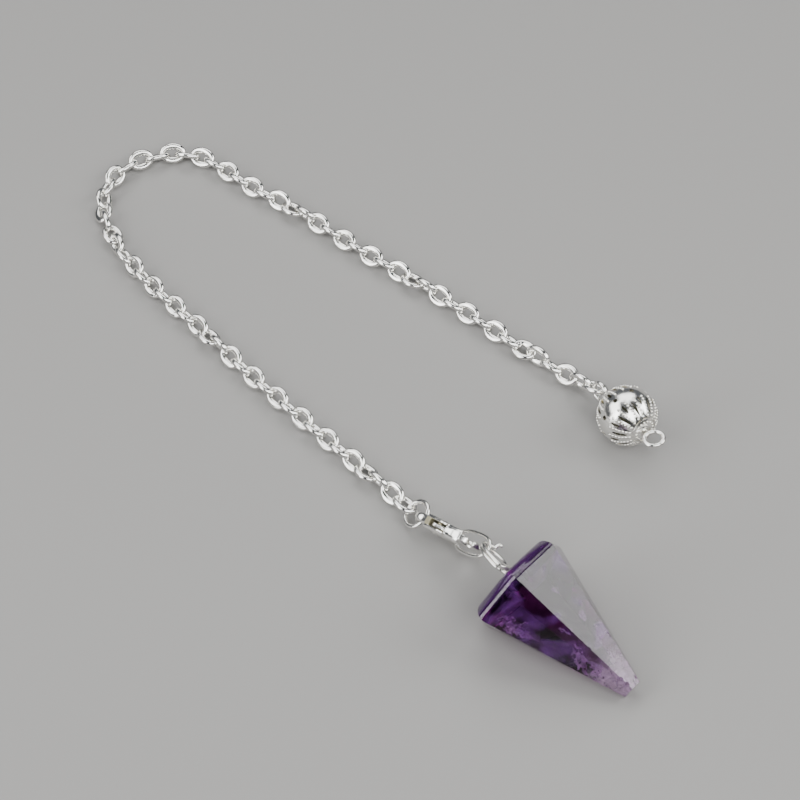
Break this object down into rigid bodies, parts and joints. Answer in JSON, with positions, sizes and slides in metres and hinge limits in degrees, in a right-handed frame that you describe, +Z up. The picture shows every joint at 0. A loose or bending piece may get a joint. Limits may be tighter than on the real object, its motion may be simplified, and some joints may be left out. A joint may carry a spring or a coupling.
{
  "type": "pendulum pendant",
  "caption": "Faceted stone point hung by a coiled wire bail and a lobster clasp from a cable chain that ends in a pierced ball with a small free ring, lying in one long bend.",
  "frame": {"origin": "centre of the laid-out piece's bounding box, on the surface that it lies on", "axes": "+X to the right and +Y away from the front, along the long way of the laid-out piece, +Z up from the surface"},
  "size_m": [0.0783, 0.0951, 0.0127],
  "materials": {
    "amethyst": "polished, cloudy purple quartz",
    "silver_plate": "bright silver plate"
  },
  "bodies": {
    "pendant": {"stone": "amethyst", "bail": "silver_plate", "oval_ring": "silver_plate", "clasp_body": "silver_plate", "clasp_pin": "silver_plate", "jump_ring": "silver_plate", "chain": "silver_plate", "ball": "silver_plate", "eye_pin": "silver_plate"},
    "lever": {"clasp_lever": "silver_plate"}
  },
  "joints": [
    {"name": "lever_hinge", "type": "hinge", "parent": "pendant", "child": "lever", "pos_m": [0.00973, -0.02352, 0.00336], "axis": [0.4981, 0.7221, 0.4801], "range_deg": [0, 15], "stiffness_Nm_per_rad": 0.002}
  ]
}
